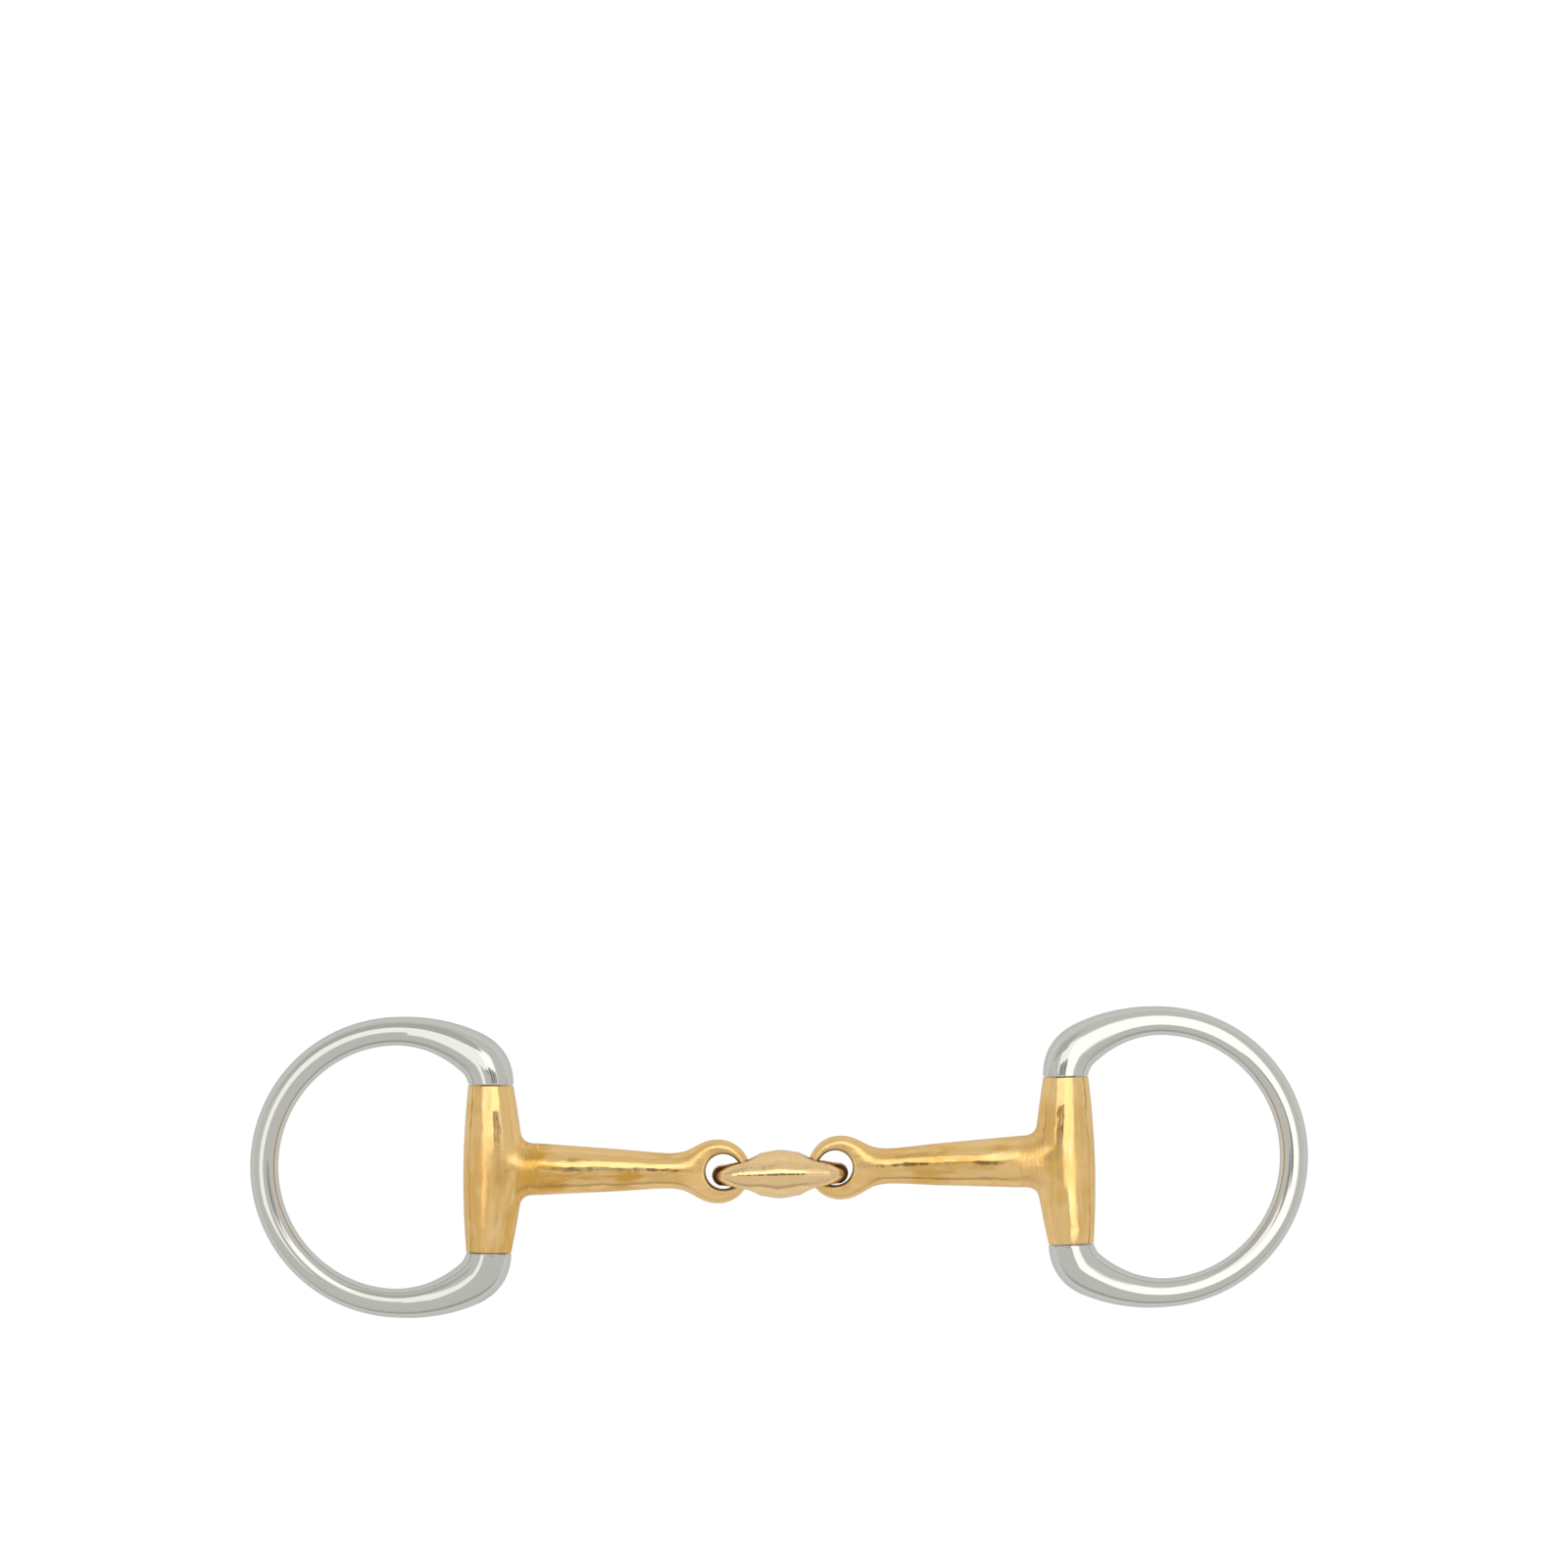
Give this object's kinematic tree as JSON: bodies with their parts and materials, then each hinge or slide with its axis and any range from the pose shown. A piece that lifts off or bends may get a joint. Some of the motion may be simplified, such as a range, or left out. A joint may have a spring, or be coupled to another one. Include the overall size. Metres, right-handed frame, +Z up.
{
  "type": "snaffle bit",
  "caption": "Eggbutt snaffle bit: bean-shaped rings swing in egg-shaped barrels at the ends of a jointed mouthpiece with an olive-shaped centre link, for steering a horse by the reins.",
  "frame": {"origin": "middle of the bounding box's underside, on the surface the bit lies on", "axes": "+X along the mouthpiece towards the right ring, +Y along the barrels, +Z up from the surface"},
  "size_m": [0.2696, 0.0794, 0.0147],
  "materials": {
    "mouthpiece_metal": "polished, with light tarnish",
    "ring_steel": "mirror-polished stainless steel"
  },
  "bodies": {
    "centre_link": {"centre_link": "mouthpiece_metal"},
    "left_cannon": {"left_cannon": "mouthpiece_metal"},
    "right_cannon": {"right_cannon": "mouthpiece_metal"},
    "left_ring": {"left_ring": "ring_steel", "left_hinge_pin": "ring_steel"},
    "right_ring": {"right_ring": "ring_steel", "right_hinge_pin": "ring_steel"}
  },
  "joints": [
    {"name": "left_eye", "type": "hinge", "parent": "centre_link", "child": "left_cannon", "pos_m": [-0.00993, -0.00317, 0.0073], "axis": [-0.0209, 0.9998, 0], "range_deg": [-55, 55]},
    {"name": "right_eye", "type": "hinge", "parent": "centre_link", "child": "right_cannon", "pos_m": [0.01047, -0.00274, 0.0073], "axis": [0.0209, -0.9998, 0], "range_deg": [-55, 55]},
    {"name": "left_ring_swing", "type": "hinge", "parent": "left_cannon", "child": "left_ring", "pos_m": [-0.07357, -0.00156, 0.00735], "axis": [0.0122, 0.9999, 0], "range_deg": [-164.2, 171.7]},
    {"name": "right_ring_swing", "type": "hinge", "parent": "right_cannon", "child": "right_ring", "pos_m": [0.07358, 0.00063, 0.00735], "axis": [0.0332, -0.9995, 0], "range_deg": [-164.2, 171.7]}
  ]
}
